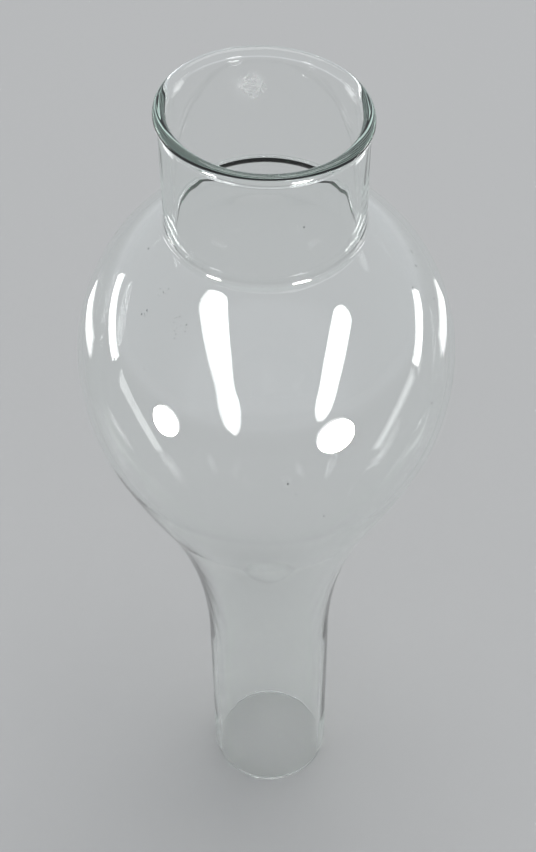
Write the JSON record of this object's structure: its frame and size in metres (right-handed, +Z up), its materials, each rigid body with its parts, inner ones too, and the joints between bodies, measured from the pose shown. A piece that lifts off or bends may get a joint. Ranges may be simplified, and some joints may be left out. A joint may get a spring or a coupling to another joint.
{
  "type": "lamp chimney",
  "caption": "Clear blown glass chimney open at both ends: beaded mouth and short collar over a round bulb that tapers to a straight stem, standing on the stem's foot.",
  "frame": {"origin": "centre of the foot's face, which is the lowest plane of the part and what it stands on", "axes": "+Z up along the axis of revolution, from the foot to the rim bead; the part is the same all round, so +X and +Y are free"},
  "size_m": [0.1296, 0.1296, 0.35],
  "materials": {
    "clear_glass": "fire-polished, clear with a slight green tint"
  },
  "bodies": {
    "root": {"foot_ring": "clear_glass", "stem": "clear_glass", "throat": "clear_glass", "flare": "clear_glass", "bulb_belly": "clear_glass", "bulb_shoulder": "clear_glass", "collar": "clear_glass", "rim_bead": "clear_glass"}
  },
  "joints": []
}
